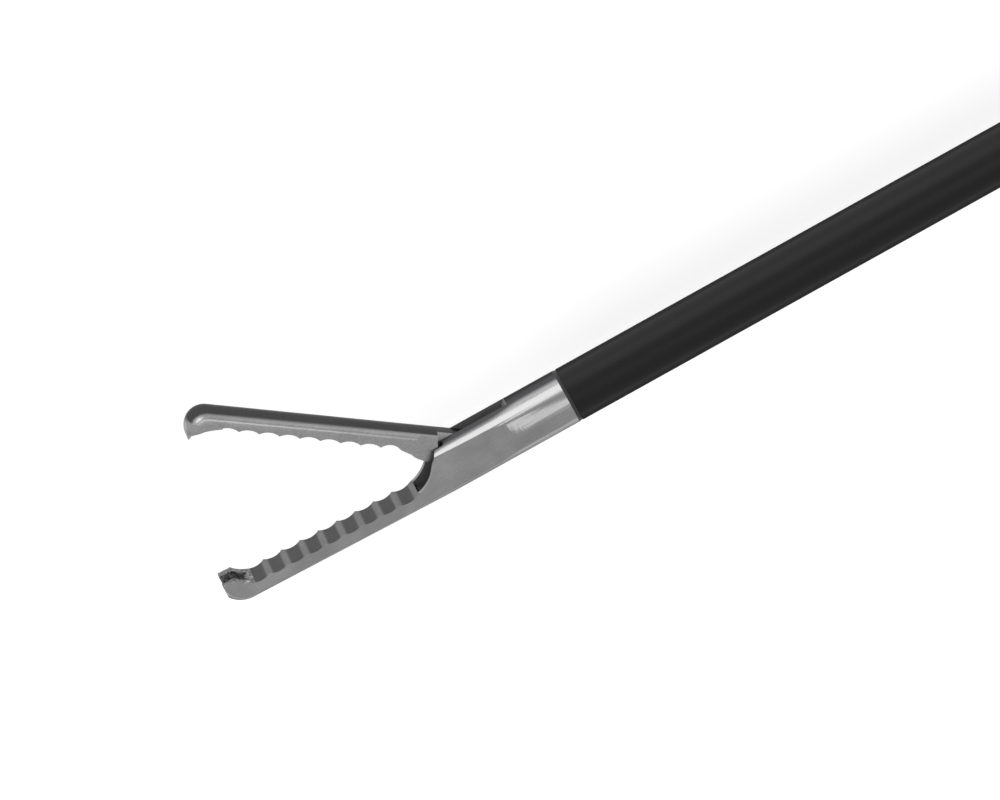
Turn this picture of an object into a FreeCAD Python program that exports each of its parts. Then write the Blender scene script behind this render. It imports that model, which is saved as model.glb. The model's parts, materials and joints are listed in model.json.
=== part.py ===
# Laparoscopic grasper, 5 mm, lying on its side.
# The shaft's axis is X, with the jaws towards -X and the handle towards +X. The jaw opens towards +Y,
# and the jaw's pivot pin and the thumb lever's pin are parallel to Z. The origin is on the shaft's axis
# where the insulated shaft leaves the collar with the cleaning port. The jaw is modelled open, with the
# lever at the stop where the hand lets go.
import FreeCAD, Part
import math
import os

V = FreeCAD.Vector

# Shaft
shaft_r = 2.5
tube_r = 2.0
tube_bore_r = 1.6
sleeve_length = 296.0
sleeve_seat = 6.0
sleeve_seat_r = 2.3
joint_relief = 0.08
joint_relief_length = 0.33
rod_r = 0.8
running = 0.05

# Clevis and fixed jaw. X is counted here from the front end of the insulation.
tube_socket = 3.5
rod_bore_r = 1.4
jaw_reach = 34.22
nose_centre = -32.3
jaw_lean = 1.45
lean_x = -12.5
lean_half_run = 1.0
flat_half = 1.65
flat_half_rear = 1.88
flat_taper_start = -18.0
flat_taper_end = -8.7
flat_runout = -4.75
cheek_top = (-12.23, 2.6)
cheek_foot = (-13.70, 0.53)
cheek_blend_r = 3.5
grip_height = -0.73
grip_first = -15.76
grip_pitch = 1.796
grip_count = 8
grip_valley = 0.255
prong_height = 0.08
prong_ramp = (-31.75, -0.80)
prong_rear = -33.0
prong_notch = -31.8
slot_half = 0.75
slot_front = -14.9
slot_rear = -5.95
slot_floor = -2.1
slot_ramp_end = -4.8
notch_half = 0.83

# Moving jaw, drawn with its grip parallel to the fixed jaw's and then swung open
pivot = (-8.3, 0.9)
open_angle = 37.15
jaw_travel = 34.55
jaw_half = 1.65
jaw_back = 0.93
jaw_dome_r = 2.4
jaw_edge_r = 0.35
jaw_nose = -34.3
jaw_nose_r = 1.78
jaw_nose_sweep = 122
jaw_grip = -0.785
jaw_grip_slope = 0.0125
jaw_grip_first = -17.2
jaw_grip_pitch = 1.797
jaw_grip_count = 8
jaw_side_height = -0.45
shoulder_gap = 0.12
heel_half = 1.2
heel_gap = 0.07
tang_half = 0.68
tang_back = 0.83
tooth_half = 0.75
tooth_tip_half = 0.3
boss_r = 0.75
pivot_pin_r = 0.4
jaw_bore_gap = 0.03
heel_corner = (-12.3, 0.6)
heel_clearance = 0.25

# Cam drive
cam_drop = 1.4
cam_open = 0.4
rod_stroke = 1.41
drive_pin_r = 0.35
cam_gap = 0.05
cam_rim = 0.28
tail_half = 0.275
tine_gap = 0.0375
tine_thick = 0.4
tine_nose_r = 0.6
fork_root = 1.15
fork_flat_length = 2.6
fork_length = 7.0
shank_half = 0.7

# Collar with the cleaning port
hub_length = 15.0
hub_r = 5.6
hub_nose_r = 3.6
port_x = 8.5
port_r = 2.9
port_bore_r = 2.1
port_tip = 13.0
port_lip = 0.5
cap_r = 4.0
cap_wall = 1.2
cap_length = 7.0
o_ring_r = 0.6
o_ring_squeeze = 0.08

# Rotation knob
knob_gap = 0.4
knob_length = 21.0
knob_r = 10.0
knob_nose_r = 6.2
knob_flutes = 8
knob_flute_r = 3.4
knob_flute_depth = 1.6
grub_r = 1.25
knob_tail_r = 4.5

# Handle body
neck_clearance = 0.6
neck_rise = 1.2
neck_chamfer = 0.6
body_front = hub_length + knob_gap + knob_length + neck_clearance + neck_rise
body_half = 9.5
body_wall = 2.2
neck_length = 11.5
neck_r = 8.0
collar_r = 6.6
collar_width = 2.6
collar_front = body_front + 3.3
ring_section_half = 4.6
loop_centre = (body_front + 11.8, -62.0)
loop_half_x = 11.0
loop_half_y = 22.0
loop_wall = 5.8
seam_edge_r = 2.3

# Thumb lever
lever_arm = 6.0
lever_pivot_x = body_front + 29.8
thumb_centre = (body_front + 66.8, -70.0)
thumb_bore_r = 12.5
thumb_wall = 5.2
lever_half = 3.6
lever_hub_r = 4.8
lever_knee_r = 4.0
lever_travel = 2 * math.degrees(math.asin(rod_stroke / 2 / lever_arm))
lever_pin_r = 1.6
bush_r = 2.6
ball_r = 2.0
yoke_wall = 1.6
yoke_slit_half = 1.5
yoke_slit_floor = -2.0
yoke_low = -2.4
yoke_high = 2.6

# High-frequency connector
connector_r = 2.0
connector_length = 20.0
connector_base = (body_front + 40.8, 9.0)
connector_tilt = 50.0
connector_collar_r = 4.2
connector_collar_rise = 6.0
connector_root_r = 1.6

# Screws
screw_r = 1.25
screw_head_r = 2.4
screw_head_height = 1.8
screw_end = 2.0
screw_places = (
    (body_front + 7.8, -24.5),
    (loop_centre[0] - 0.5, loop_centre[1] - loop_half_y - loop_wall / 2),
    (body_front + 22.8, 8.6),
)

os.makedirs("parts", exist_ok=True)


def face(start, *steps):
    """Closed face in the X-Y plane. A step is a point, or a pair for an arc: a point on it and its end."""
    edges = []
    here = start
    for step in steps:
        if isinstance(step[0], tuple):
            through, end = step
            edges.append(Part.Arc(V(*here), V(*through), V(*end)).toShape())
        else:
            end = step
            edges.append(Part.makeLine(V(*here), V(*end)))
        here = end
    if math.dist(here, start) > 1e-6:
        edges.append(Part.makeLine(V(*here), V(*start)))
    return Part.Face(Part.Wire(edges))


def slab(outline, half, centre=0.0):
    """The outline as a plate, `half` thick each side of a plane of constant Z."""
    lowered = outline.copy()
    lowered.translate(V(0, 0, centre - half))
    return lowered.extrude(V(0, 0, 2 * half))


def bar(radius, x0, x1, y=0.0, z=0.0):
    return Part.makeCylinder(radius, x1 - x0, V(x0, y, z), V(1, 0, 0))


def pin(radius, point, half):
    return Part.makeCylinder(radius, 2 * half, V(point[0], point[1], -half), V(0, 0, 1))


def turned(*points):
    """A solid of revolution about X from (x, radius) points."""
    return face(*points).revolve(V(0, 0, 0), V(1, 0, 0), 360)


def ring(outer, inner, x0, x1):
    return bar(outer, x0, x1).cut(bar(inner, x0 - 1, x1 + 1))


def swing(point, angle, centre=pivot):
    """A point turned about the pivot, anticlockwise."""
    a = math.radians(angle)
    dx, dy = point[0] - centre[0], point[1] - centre[1]
    x = centre[0] + dx * math.cos(a) - dy * math.sin(a)
    y = centre[1] + dx * math.sin(a) + dy * math.cos(a)
    return (x, y)


def polar(centre, radius, angle):
    a = math.radians(angle)
    return (centre[0] + radius * math.cos(a), centre[1] + radius * math.sin(a))


def link(a, b, ra, rb, half):
    """Plate around two round ends, joined by their outer tangents."""
    length = math.dist(a, b)
    heading = math.degrees(math.atan2(b[1] - a[1], b[0] - a[0]))
    spread = math.degrees(math.acos((ra - rb) / length))
    outline = face(
        polar(a, ra, heading + spread),
        (polar(a, ra, heading + 180), polar(a, ra, heading - spread)),
        polar(b, rb, heading - spread),
        (polar(b, rb, heading), polar(b, rb, heading + spread)),
    )
    return slab(outline, half)


def joined(shapes):
    shapes = list(shapes)
    whole = shapes[0].fuse(shapes[1:]) if len(shapes) > 1 else shapes[0]
    return whole.removeSplitter()


def rounded(shape, radius, wanted):
    """Rounds all the edges for which `wanted` is true."""
    return shape.makeFillet(radius, [edge for edge in shape.Edges if wanted(edge)])


def scallops(first, pitch, count, height, depth, slope=0.0):
    """Arcs from cusp to cusp towards -X, each sagging or rising by `depth`."""
    steps = []
    for i in range(count):
        middle = height + slope * pitch * (i + 0.5)
        end = height + slope * pitch * (i + 1)
        x = first - i * pitch
        steps.append(((x - pitch / 2, middle + depth), (x - pitch, end)))
    return steps


def leaned(point):
    """A point of the fixed jaw, moved with the jaw's slight lean towards the moving jaw."""
    return swing(point, -jaw_lean, (lean_x, 0))


def at_tip(shape):
    """Moves a piece that is drawn from the insulation's front end to its place."""
    shape.translate(V(-sleeve_length, 0, 0))
    return shape


def blend_centre(start=(grip_first, grip_height)):
    """Centre of the arc that joins the cheek's front to the grip's first cusp."""
    middle = ((start[0] + cheek_foot[0]) / 2, (start[1] + cheek_foot[1]) / 2)
    chord = math.dist(start, cheek_foot)
    reach = math.sqrt(cheek_blend_r ** 2 - chord ** 2 / 4)
    nx = -(cheek_foot[1] - start[1]) / chord
    ny = (cheek_foot[0] - start[0]) / chord
    return (middle[0] + reach * nx, middle[1] + reach * ny)


def angle_of(point, centre):
    return math.degrees(math.atan2(point[1] - centre[1], point[0] - centre[0]))


def jaw_section(foot=-3.5):
    """The upper jaw's cross-section at x = 0, with flat sides under a domed back."""
    dome = jaw_back - jaw_dome_r
    z = jaw_half - jaw_edge_r
    y = dome + math.sqrt((jaw_dome_r - jaw_edge_r) ** 2 - z ** 2)
    spread = math.degrees(math.atan2(y - dome, z))
    meet = polar((0, dome), jaw_dome_r, spread)
    halfway = polar((z, y), jaw_edge_r, spread / 2)
    outline = face(
        (jaw_half, foot),
        (jaw_half, y),
        (halfway, meet),
        ((0, jaw_back), (-meet[0], meet[1])),
        ((-halfway[0], halfway[1]), (-jaw_half, y)),
        (-jaw_half, foot),
    )
    return across(outline)


def across(outline, x=0.0):
    """Stands a drawn outline upright across the jaw at x, its first coordinate along Z."""
    outline.rotate(V(0, 0, 0), V(0, 1, 0), -90)
    outline.translate(V(x, 0, 0))
    return outline


def jaw_envelope(x1):
    """The upper jaw's outside, with its domed back swept round the nose and straight on to the hook."""
    centre = V(jaw_nose + jaw_nose_r, jaw_back - jaw_nose_r, 0)
    section = jaw_section()
    section.translate(V(centre.x, 0, 0))
    straight = section.extrude(V(x1 - centre.x, 0, 0))
    half = jaw_section(centre.y)
    half.translate(V(centre.x, 0, 0))
    nose = half.revolve(centre, V(0, 0, 1), jaw_nose_sweep)
    half.rotate(centre, V(0, 0, 1), jaw_nose_sweep)
    heading = math.radians(180 + jaw_nose_sweep)
    hook = half.extrude(V(math.cos(heading), math.sin(heading), 0))
    return joined([straight, nose, hook])


def fixed_jaw_stock():
    """Round stock along the shaft, bent a little at the throat, with a ball nose faced off at its end."""
    bend_start = lean_x + lean_half_run
    bend_end = lean_x - lean_half_run
    bend_r = lean_half_run / math.tan(math.radians(jaw_lean / 2))
    disc = Part.Face(Part.Wire(Part.makeCircle(shaft_r, V(bend_start, 0, 0), V(1, 0, 0))))
    bend = disc.revolve(V(bend_start, bend_r, 0), V(0, 0, 1), -jaw_lean)
    front = bar(shaft_r, nose_centre, bend_end).fuse(Part.makeSphere(shaft_r, V(nose_centre, 0, 0)))
    front = front.common(Part.makeBox(jaw_reach, 10, 10, V(-jaw_reach, -5, -5)))
    front.rotate(V(lean_x, 0, 0), V(0, 0, 1), -jaw_lean)
    return joined([bar(shaft_r, bend_start, 0), bend, front])


def fixed_jaw_clevis():
    grip_start = leaned((grip_first, grip_height))
    centre = blend_centre(grip_start)
    middle = (angle_of(cheek_foot, centre) + angle_of(grip_start, centre)) / 2
    grip = scallops(grip_first, grip_pitch, grip_count, grip_height, -grip_valley)
    grip.append(((-31.0, grip_height - grip_valley), prong_ramp))
    grip.append((((prong_ramp[0] + prong_rear) / 2 - 0.1, -0.42), (prong_rear, prong_height)))
    side = face(
        (1.0, 2.6),
        cheek_top,
        cheek_foot,
        (polar(centre, cheek_blend_r, middle), grip_start),
        *[(leaned(through), leaned(end)) for through, end in grip],
        leaned((-jaw_reach - 1, prong_height)),
        leaned((-jaw_reach - 1, -4.0)),
        (1.0, -3.0),
    )
    whole = fixed_jaw_stock().common(slab(side, 3))
    flats = face(
        (-jaw_reach - 1, flat_half),
        (flat_taper_start, flat_half),
        (flat_taper_end, flat_half_rear),
        ((-6.2, 2.09), (flat_runout, 2.5)),
        (-4.0, 3.2),
        (1.0, 3.2),
        (1.0, -3.2),
        (-4.0, -3.2),
        (flat_runout, -2.5),
        ((-6.2, -2.09), (flat_taper_end, -flat_half_rear)),
        (flat_taper_start, -flat_half),
        (-jaw_reach - 1, -flat_half),
    )
    plan = slab(flats, 3)
    plan.rotate(V(0, 0, 0), V(1, 0, 0), 90)
    whole = whole.common(plan)
    slot = face(
        (slot_front, 3.0),
        (slot_front, -1.1),
        ((slot_front + 0.45, -1.75), (slot_front + 1.4, slot_floor)),
        (slot_rear, slot_floor),
        (slot_rear, 1.2),
        ((slot_rear + 0.35, 1.95), (slot_ramp_end, 2.55)),
        (slot_ramp_end, 3.0),
    )
    whole = whole.cut(slab(slot, slot_half))
    wall_r = math.dist(pivot, heel_corner) - heel_clearance
    pocket = face(
        (-15.55, 3.0),
        (-15.55, -0.80),
        ((-15.1, -1.30), (-14.1, -1.66)),
        (-12.6, -1.66),
        polar(pivot, wall_r, 212),
        (polar(pivot, wall_r, 180), polar(pivot, wall_r, 150)),
        (-11.6, 3.2),
    )
    whole = whole.cut(slab(pocket, heel_half + heel_gap))
    notch = face(
        leaned((prong_notch, 0.5)),
        leaned((prong_notch, -0.72)),
        (leaned((-32.7, -1.02)), leaned((-33.3, -1.50))),
        leaned((-34.2, -2.8)),
        leaned((-36.0, -2.8)),
        leaned((-36.0, 0.5)),
    )
    whole = whole.cut(slab(notch, notch_half))
    whole = whole.cut(bar(rod_bore_r, slot_rear - 0.05, 1))
    whole = whole.cut(bar(tube_r, -tube_socket, 1))
    whole = whole.cut(pin(pivot_pin_r, pivot, 3))
    relief = turned(
        (-joint_relief_length, shaft_r),
        (-joint_relief_length, shaft_r + 1),
        (0.1, shaft_r + 1),
        (0.1, shaft_r - joint_relief),
        (0, shaft_r - joint_relief),
    )
    return at_tip(whole.cut(relief))


def cam_path():
    """Start, middle and end of the drive pin's path, seen from the jaw drawn parallel."""
    stops = []
    for share in (0.0, 0.5, 1.0):
        place = (pivot[0] + cam_open + share * rod_stroke, pivot[1] - cam_drop)
        stops.append(swing(place, open_angle - share * jaw_travel))
    return stops


def circle_through(a, b, c):
    curve = Part.Circle(V(*a), V(*b), V(*c))
    return (curve.Center.x, curve.Center.y), curve.Radius


def cam_slot(half):
    a, b, c = cam_path()
    centre, radius = circle_through(a, b, c)
    w = drive_pin_r + cam_gap
    first, mid, last = (angle_of(p, centre) for p in (a, b, c))
    outline = face(
        polar(centre, radius - w, first),
        (polar(a, w, first + 90), polar(centre, radius + w, first)),
        (polar(centre, radius + w, mid), polar(centre, radius + w, last)),
        (polar(c, w, last - 90), polar(centre, radius - w, last)),
        (polar(centre, radius - w, mid), polar(centre, radius - w, first)),
    )
    return slab(outline, half)


def moving_jaw():
    centre = blend_centre()
    inner_r = cheek_blend_r - shoulder_gap
    start = angle_of(cheek_foot, centre)
    end = angle_of((grip_first, grip_height), centre) + 1.5
    front_slope = math.radians(angle_of(cheek_top, cheek_foot))
    foot = polar(centre, inner_r, start)
    top = (foot[0] + 1.0 / math.tan(front_slope), foot[1] + 1.0)
    grip = scallops(jaw_grip_first, jaw_grip_pitch, jaw_grip_count, jaw_grip, grip_valley, jaw_grip_slope)
    grip_end = grip[-1][1][1]
    side = face(
        top,
        foot,
        (polar(centre, inner_r, (start + end) / 2), polar(centre, inner_r, end)),
        ((-16.45, -0.45), (jaw_grip_first, jaw_grip)),
        *grip,
        ((-32.1, grip_end - 0.01), (-32.9, jaw_side_height)),
        (jaw_nose - 1, jaw_side_height),
        (jaw_nose - 1, top[1]),
    )
    envelope = jaw_envelope(-10.0)
    blade = slab(side, jaw_half).common(envelope)
    hook = face(
        (-31.0, 0.0),
        (-31.0, -0.86),
        ((-31.8, -1.04), (-32.5, -1.26)),
        ((-33.05, -1.55), (-33.55, -1.80)),
        (-33.87, -2.77),
        (-35.0, -2.77),
        (-35.0, 0.0),
    )
    tooth_front = across(face(
        (tooth_half, 0.5),
        (tooth_half, -1.5),
        (tooth_tip_half, -2.3),
        (tooth_tip_half, -3.0),
        (-tooth_tip_half, -3.0),
        (-tooth_tip_half, -2.3),
        (-tooth_half, -1.5),
        (-tooth_half, 0.5),
    ), -35.0)
    tooth = slab(hook, tooth_half).common(tooth_front.extrude(V(5, 0, 0))).common(envelope)
    heel_rear = math.dist(pivot, heel_corner)
    heel = face(
        (-15.95, 0.5),
        (-15.95, -0.50),
        (-15.3, -0.98),
        ((-14.7, -1.19), (-14.0, -1.40)),
        ((-13.5, -1.42), (-13.15, -1.15)),
        polar(pivot, heel_rear, 202),
        (polar(pivot, heel_rear, 192), polar(pivot, heel_rear, 180)),
        (pivot[0] - heel_rear, 1.5),
        (-15.95, 1.5),
    )
    heel = slab(heel, heel_half).common(envelope)
    tang = face(
        (-14.5, tang_back),
        (-14.5, -1.20),
        ((-14.0, -1.62), (-13.2, -1.90)),
        ((-12.6, -1.97), (-12.0, -1.80)),
        (-9.8, -0.60),
        (pivot[0] - 0.2, pivot[1] - boss_r + 0.05),
        pivot,
        (pivot[0], tang_back),
    )
    whole = joined([blade, tooth, heel, slab(tang, tang_half), pin(boss_r, pivot, tang_half)])
    a, b, c = cam_path()
    rim = drive_pin_r + cam_gap + cam_rim
    tail = [link(pivot, a, boss_r - 0.05, rim, tail_half)]
    tail.append(link(a, b, rim, rim - 0.001, tail_half))
    tail.append(link(b, c, rim, rim - 0.001, tail_half))
    whole = joined([whole] + tail)
    whole = whole.cut(cam_slot(1.0))
    whole = whole.cut(pin(pivot_pin_r + jaw_bore_gap, pivot, 2))
    whole.rotate(V(pivot[0], pivot[1], 0), V(0, 0, 1), -open_angle)
    return at_tip(whole)


def jaw_pivot_pin():
    seat = flat_half_rear - 0.02
    return at_tip(pin(pivot_pin_r, pivot, seat))


drive_pin_place = (pivot[0] + cam_open, pivot[1] - cam_drop)
tine_half = tail_half + tine_gap + tine_thick


def rod_fork():
    x, y = drive_pin_place
    root = x + fork_root
    side = face(
        (x, y + tine_nose_r),
        (polar((x, y), tine_nose_r, 180), (x, y - tine_nose_r)),
        (x + 0.3, y - tine_nose_r),
        (root, -rod_r),
        (root + fork_flat_length, -rod_r),
        (root + fork_flat_length, rod_r),
        (root, rod_r),
        (root - 0.55, y + tine_nose_r),
    )
    tines = slab(side, tine_half)
    inner_half = tine_half - tine_thick
    gap = Part.makeBox(fork_root + 2, 4, 2 * inner_half, V(x - 2, -2, -inner_half))
    slim = Part.makeBox(fork_flat_length, 4, 2 * shank_half, V(root, -2, -shank_half))
    front = Part.makeBox(fork_root + 2, 4, 2 * tine_half, V(x - 2, -2, -tine_half))
    body = tines.common(front.fuse(slim)).cut(gap)
    round_part = bar(rod_r, root + fork_flat_length - 0.2, x + fork_length)
    flat_part = bar(rod_r, root + 0.6, x + fork_length).common(slim)
    whole = joined([body.cut(round_part), flat_part, round_part])
    return at_tip(whole.cut(pin(drive_pin_r, (x, y), 2)))


def drive_pin():
    return at_tip(pin(drive_pin_r, drive_pin_place, tine_half - 0.01))


ball_x = lever_pivot_x - rod_stroke / 2
ball_shank = 3.5


def drive_rod():
    start = drive_pin_place[0] + fork_length - sleeve_length
    return bar(rod_r, start, ball_x - ball_r - ball_shank + 1.5)


def rod_ball_end():
    front = ball_x - ball_r - ball_shank
    neck = bar(1.1, front, ball_x)
    sleeve = turned(
        (front, 0),
        (front, 1.1),
        (front + 0.3, 1.4),
        (front + 1.6, 1.4),
        (front + 1.9, 1.1),
        (front + 1.9, 0),
    )
    ball = Part.makeSphere(ball_r, V(ball_x, 0, 0))
    return joined([ball, neck, sleeve]).cut(bar(rod_r, front - 1, front + 1.5))


tube_rear = body_front + neck_length + 5.0


def outer_tube():
    front = -sleeve_length - tube_socket
    return ring(tube_r, tube_bore_r, front, tube_rear)


def insulation_sleeve():
    return turned(
        (-sleeve_length, tube_r),
        (-sleeve_length, shaft_r - joint_relief),
        (-sleeve_length + joint_relief_length, shaft_r),
        (0, shaft_r),
        (0, sleeve_seat_r),
        (sleeve_seat, sleeve_seat_r),
        (sleeve_seat, tube_r),
    )


def flush_hub():
    body = turned(
        (0, 0),
        (0, hub_nose_r),
        ((1.2, hub_nose_r + 1.0), (3.2, hub_r)),
        (hub_length - 1.0, hub_r),
        (hub_length, hub_r - 1.0),
        (hub_length, 0),
    )
    groove = ring(hub_r + 1, hub_r - 0.5, hub_length - 3.2, hub_length - 2.2)
    body = body.cut(groove)
    port = Part.makeCylinder(port_r, port_tip, V(port_x, 0, 0), V(0, 1, 0))
    foot = Part.makeCone(port_r + 1.6, port_r, 3.0, V(port_x, hub_r - 1.4, 0), V(0, 1, 0))
    lip = Part.makeCylinder(port_r + port_lip, 1.2, V(port_x, port_tip - 1.2, 0), V(0, 1, 0))
    whole = joined([body, port, foot, lip])
    whole = whole.cut(Part.makeCone(1.0, port_bore_r, port_tip - 1.0, V(port_x, 1.0, 0), V(0, 1, 0)))
    whole = whole.cut(bar(sleeve_seat_r, -1, sleeve_seat)).cut(bar(tube_r, 0, hub_length + 1))
    for x in o_ring_places():
        whole = whole.cut(o_ring_groove(x))
    return whole


def o_ring_places():
    return (sleeve_seat + 0.9, hub_length - 1.4)


def o_ring_groove(x):
    return ring(tube_r + 2 * (o_ring_r - o_ring_squeeze), tube_r, x - o_ring_r - 0.1, x + o_ring_r + 0.1)


def hub_o_rings():
    """Two sealing rings, squeezed flat between the tube and the bottom of the groove."""
    seals = []
    for x in o_ring_places():
        loose = Part.makeTorus(tube_r + o_ring_r - o_ring_squeeze, o_ring_r, V(x, 0, 0), V(1, 0, 0))
        seals.append(loose.common(o_ring_groove(x)))
    return Part.makeCompound(seals)


def flush_port_cap():
    up = V(0, 1, 0)
    base = port_tip - cap_length + cap_wall + 0.6
    ceiling = base + cap_length - cap_wall
    shell = Part.makeCylinder(cap_r, cap_length, V(port_x, base, 0), up)
    shell = rounded(shell, 0.6, lambda e: abs(e.CenterOfMass.y - base - cap_length) < 0.01 and e.Length > 5)
    hollow = Part.makeCylinder(port_r + port_lip + 0.08, ceiling - base, V(port_x, base, 0), up)
    shell = shell.cut(hollow)
    plug_r = port_bore_r - 0.2
    depth = 4.0
    plug = Part.makeCone(plug_r - 0.35, plug_r, depth, V(port_x, ceiling - depth, 0), up)
    whole = joined([shell, plug])
    for i in range(12):
        rib = Part.makeCylinder(0.35, cap_length - 1.4, V(port_x + cap_r, base + 0.3, 0), V(0, 1, 0))
        rib.rotate(V(port_x, 0, 0), V(0, 1, 0), 30 * i)
        whole = whole.cut(rib)
    return whole


knob_front = hub_length + knob_gap
knob_rear = knob_front + knob_length
tail_end = body_front + neck_length - 0.3


def rotation_knob():
    body = turned(
        (knob_front, 0),
        (knob_front, knob_nose_r - 0.6),
        (knob_front + 0.6, knob_nose_r),
        (knob_front + 2.0, knob_nose_r + 0.1),
        ((knob_front + 5.0, knob_nose_r + 1.0), (knob_front + 8.0, knob_r - 0.4)),
        ((knob_front + 9.0, knob_r - 0.05), (knob_front + 10.0, knob_r)),
        (knob_rear - 1.5, knob_r),
        ((knob_rear - 0.45, knob_r - 0.45), (knob_rear, knob_r - 1.5)),
        (knob_rear, knob_tail_r),
        (tail_end, knob_tail_r),
        (tail_end, 0),
    )
    flute_start = V(knob_front + 5.0, knob_r + knob_flute_r - knob_flute_depth, 0)
    flute = Part.makeCylinder(knob_flute_r, knob_length, flute_start, V(1, 0, 0))
    cutter = flute.fuse(Part.makeSphere(knob_flute_r, flute_start))
    for i in range(knob_flutes):
        tool = cutter.copy()
        tool.rotate(V(0, 0, 0), V(1, 0, 0), 360.0 * (i + 0.5) / knob_flutes)
        body = body.cut(tool)
    body = body.cut(bar(tube_r, 0, tail_end + 1))
    body = body.cut(ring(knob_tail_r + 1, collar_bore_r, collar_front, collar_front + collar_width))
    body = body.cut(friction_torus())
    for x, y, z in grub_places():
        body = body.cut(Part.makeCylinder(grub_r, knob_r, V(x, 0, 0), V(0, y, z)))
    return body


def grub_places():
    x = knob_rear - 4.0
    return ((x, 0, 1), (x, 1, 0))


def knob_grub_screws():
    pieces = []
    for x, y, z in grub_places():
        screw = Part.makeCylinder(grub_r, 6.2, V(x, 0, 0) + V(0, y, z) * tube_r, V(0, y, z))
        screw = screw.cut(bar(tube_r, x - 3, x + 3))
        hexagon = Part.Face(Part.makePolygon([V(*polar((0, 0), 0.75, 60 * i), 0) for i in range(7)]))
        key = hexagon.extrude(V(0, 0, 2.0))
        if y:
            key.rotate(V(0, 0, 0), V(1, 0, 0), -90)
        key.translate(V(x, 0, 0) + V(0, y, z) * (tube_r + 6.2 - 1.6))
        pieces.append(screw.cut(key))
    return Part.makeCompound(pieces)


collar_bore_r = knob_tail_r - 0.8
friction_x = collar_front + collar_width / 2 + 4.2


def shaft_collar():
    return ring(collar_r, collar_bore_r, collar_front, collar_front + collar_width)


def friction_torus():
    return Part.makeTorus(knob_tail_r + 0.05, 0.75, V(friction_x, 0, 0), V(1, 0, 0))


def friction_ring():
    """The rubber ring, flattened where it rubs in the handle."""
    return friction_torus().common(bar(knob_tail_r + 0.6, friction_x - 2, friction_x + 2))


seal_front = tube_rear - 4.0
seal_rear = tube_rear + 2.4


def seal_cap():
    outside = turned(
        (seal_front, 0),
        (seal_front, 3.3),
        (seal_front + 0.4, 3.7),
        (seal_rear - 0.6, 3.7),
        (seal_rear, 3.1),
        (seal_rear, 0),
    )
    return outside.cut(bar(tube_r, seal_front - 1, tube_rear + 1.6)).cut(bar(1.2, tube_rear, seal_rear + 1))


def rod_seal():
    x0 = tube_rear
    return turned(
        (x0, rod_r + 0.35),
        (x0, tube_r),
        (x0 + 1.6, tube_r),
        (x0 + 1.6, rod_r + 0.35),
        (x0 + 1.1, rod_r + 0.04),
        (x0 + 0.5, rod_r + 0.04),
    )


# The handle body's outline, as seen from the side
body_top = 12.0
body_rear = body_front + 45.8
body_floor = -16.0
loop_outer_x = loop_half_x + loop_wall
loop_outer_y = loop_half_y + loop_wall


def body_outline(inset=0.0):
    i = inset
    return face(
        (body_front + i, -8.0 + i),
        (body_front + i, 8.0 - i),
        ((body_front + 6 + i / 2, 10.2 - i), (body_front + 14, body_top - i)),
        ((body_front + 26, body_top + 1.0 - i), (body_rear - 8, body_top - i)),
        ((body_rear - 1.6 - i, body_top - 4.2 - i / 2), (body_rear - i, 1.0)),
        ((body_rear - 3.5 - i, -8.5), (body_rear - 12 - i, body_floor + i)),
        ((body_front + 28, body_floor - 1.5 + i), (body_front + 20, body_floor - 3 + i)),
        ((body_front + 8, -14.5 + i), (body_front + i, -8.0 + i)),
    )


def ellipse_plate(centre, half_x, half_y, half):
    """An upright oval plate."""
    outline = Part.Ellipse(V(0, 0, 0), half_y, half_x).toShape()
    outline.rotate(V(0, 0, 0), V(0, 0, 1), 90)
    plate = Part.Face(Part.Wire(outline)).extrude(V(0, 0, 2 * half))
    plate.translate(V(centre[0], centre[1], -half))
    return plate


def handle_outside():
    body = slab(body_outline(), body_half)
    body = rounded(body, 3.0, lambda e: abs(abs(e.CenterOfMass.z) - body_half) < 0.01)
    arm = face(
        (body_front + 3.0, -10.0),
        ((body_front + 2.6, -24.0), (loop_centre[0] - 9.0, loop_centre[1] + 20.0)),
        (loop_centre[0] + 7.0, loop_centre[1] + 24.5),
        ((body_front + 19.0, -27.0), (body_front + 24.0, -14.0)),
    )
    arm = slab(arm, ring_section_half)
    loop = ellipse_plate(loop_centre, loop_outer_x, loop_outer_y, ring_section_half)
    loop = loop.cut(ellipse_plate(loop_centre, loop_half_x, loop_half_y, 9))
    loop = rounded(loop, seam_edge_r, lambda e: abs(abs(e.CenterOfMass.z) - ring_section_half) < 0.01)
    neck = turned(
        (body_front - neck_rise, 0),
        (body_front - neck_rise, neck_r - neck_chamfer),
        (body_front - neck_rise + neck_chamfer, neck_r),
        (body_front + 4.0, neck_r),
        (body_front + 4.0, 0),
    )
    hole = ellipse_plate(loop_centre, loop_half_x, loop_half_y, 9)
    return joined([body, arm.cut(hole), loop, neck])


lever_arm_rise = lever_arm * math.cos(math.radians(lever_travel / 4))
lever_pivot = (lever_pivot_x, -lever_arm_rise)
lever_knee = (lever_pivot_x + 13.0, lever_pivot[1] - 28.0)


def lever_swept(extra):
    """Room for the thumb lever from rest to full squeeze."""
    half = lever_half + extra
    rest = lever_arm_plate(half, extra)
    squeezed = rest.copy()
    squeezed.rotate(V(*lever_pivot, 0), V(0, 0, 1), -lever_travel)
    middle = swing(lever_knee, -lever_travel / 2, lever_pivot)
    end = swing(lever_knee, -lever_travel, lever_pivot)
    fan = slab(face(lever_pivot, lever_knee, (middle, end)), half)
    return joined([rest, squeezed, fan])


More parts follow.
